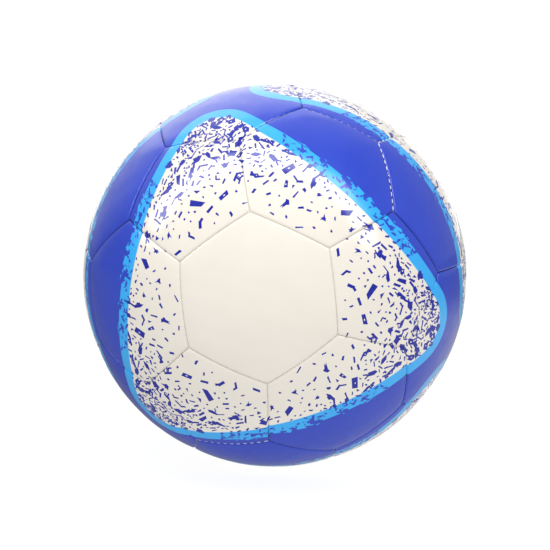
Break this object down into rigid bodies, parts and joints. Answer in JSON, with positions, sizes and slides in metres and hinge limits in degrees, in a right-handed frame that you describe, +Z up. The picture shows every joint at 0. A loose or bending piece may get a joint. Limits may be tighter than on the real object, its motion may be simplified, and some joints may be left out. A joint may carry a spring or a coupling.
{
  "type": "soccer ball",
  "caption": "Round stitched indoor soccer ball: hexagonal and pentagonal cover panels sewn edge to edge over felt and a bladder, with a needle valve opposite the front panel.",
  "frame": {"origin": "centre of the ball", "axes": "+Y from the centre through the valve, -Y through the middle of the front hexagonal panel, +Z up as the ball lies in its shown pose"},
  "size_m": [0.1998, 0.1997, 0.2],
  "materials": {
    "white_cover": "glossy printed synthetic leather, warm white",
    "blue_cover": "glossy printed synthetic leather, dark blue",
    "seam_thread": "waxed polyester thread",
    "felt": "matted felt",
    "bladder_rubber": "dull butyl rubber",
    "valve_rubber": "smooth moulded rubber",
    "patch_cloth": "woven lining cloth"
  },
  "bodies": {
    "ball": {"balance_patch": "patch_cloth", "bladder": "bladder_rubber", "felt_layer": "felt", "hexagon_panel_01": "white_cover", "hexagon_panel_02": "blue_cover", "hexagon_panel_03": "blue_cover", "hexagon_panel_04": "blue_cover", "hexagon_panel_05": "blue_cover", "hexagon_panel_06": "blue_cover", "hexagon_panel_07": "blue_cover", "hexagon_panel_08": "blue_cover", "hexagon_panel_09": "blue_cover", "hexagon_panel_10": "blue_cover", "hexagon_panel_11": "white_cover", "hexagon_panel_12": "blue_cover", "hexagon_panel_13": "white_cover", "hexagon_panel_14": "blue_cover", "hexagon_panel_15": "white_cover", "hexagon_panel_16": "blue_cover", "hexagon_panel_17": "blue_cover", "hexagon_panel_18": "blue_cover", "hexagon_panel_19": "blue_cover", "pentagon_panel_01": "white_cover", "pentagon_panel_02": "white_cover", "pentagon_panel_03": "white_cover", "pentagon_panel_04": "white_cover", "pentagon_panel_05": "white_cover", "pentagon_panel_06": "white_cover", "pentagon_panel_07": "white_cover", "pentagon_panel_08": "white_cover", "pentagon_panel_09": "white_cover", "pentagon_panel_10": "white_cover", "pentagon_panel_11": "white_cover", "pentagon_panel_12": "white_cover", "seam_thread_01": "seam_thread", "seam_thread_02": "seam_thread", "seam_thread_03": "seam_thread", "seam_thread_04": "seam_thread", "seam_thread_05": "seam_thread", "seam_thread_06": "seam_thread", "seam_thread_07": "seam_thread", "seam_thread_08": "seam_thread", "seam_thread_09": "seam_thread", "seam_thread_10": "seam_thread", "seam_thread_11": "seam_thread", "seam_thread_12": "seam_thread", "valve_housing": "valve_rubber", "valve_panel": "blue_cover", "valve_patch": "patch_cloth"},
    "valve_core": {"valve_core": "valve_rubber"}
  },
  "joints": [
    {"name": "valve_core_pull", "type": "slide", "parent": "ball", "child": "valve_core", "axis": [0, 1, 0], "range_m": [0, 0.022]}
  ]
}
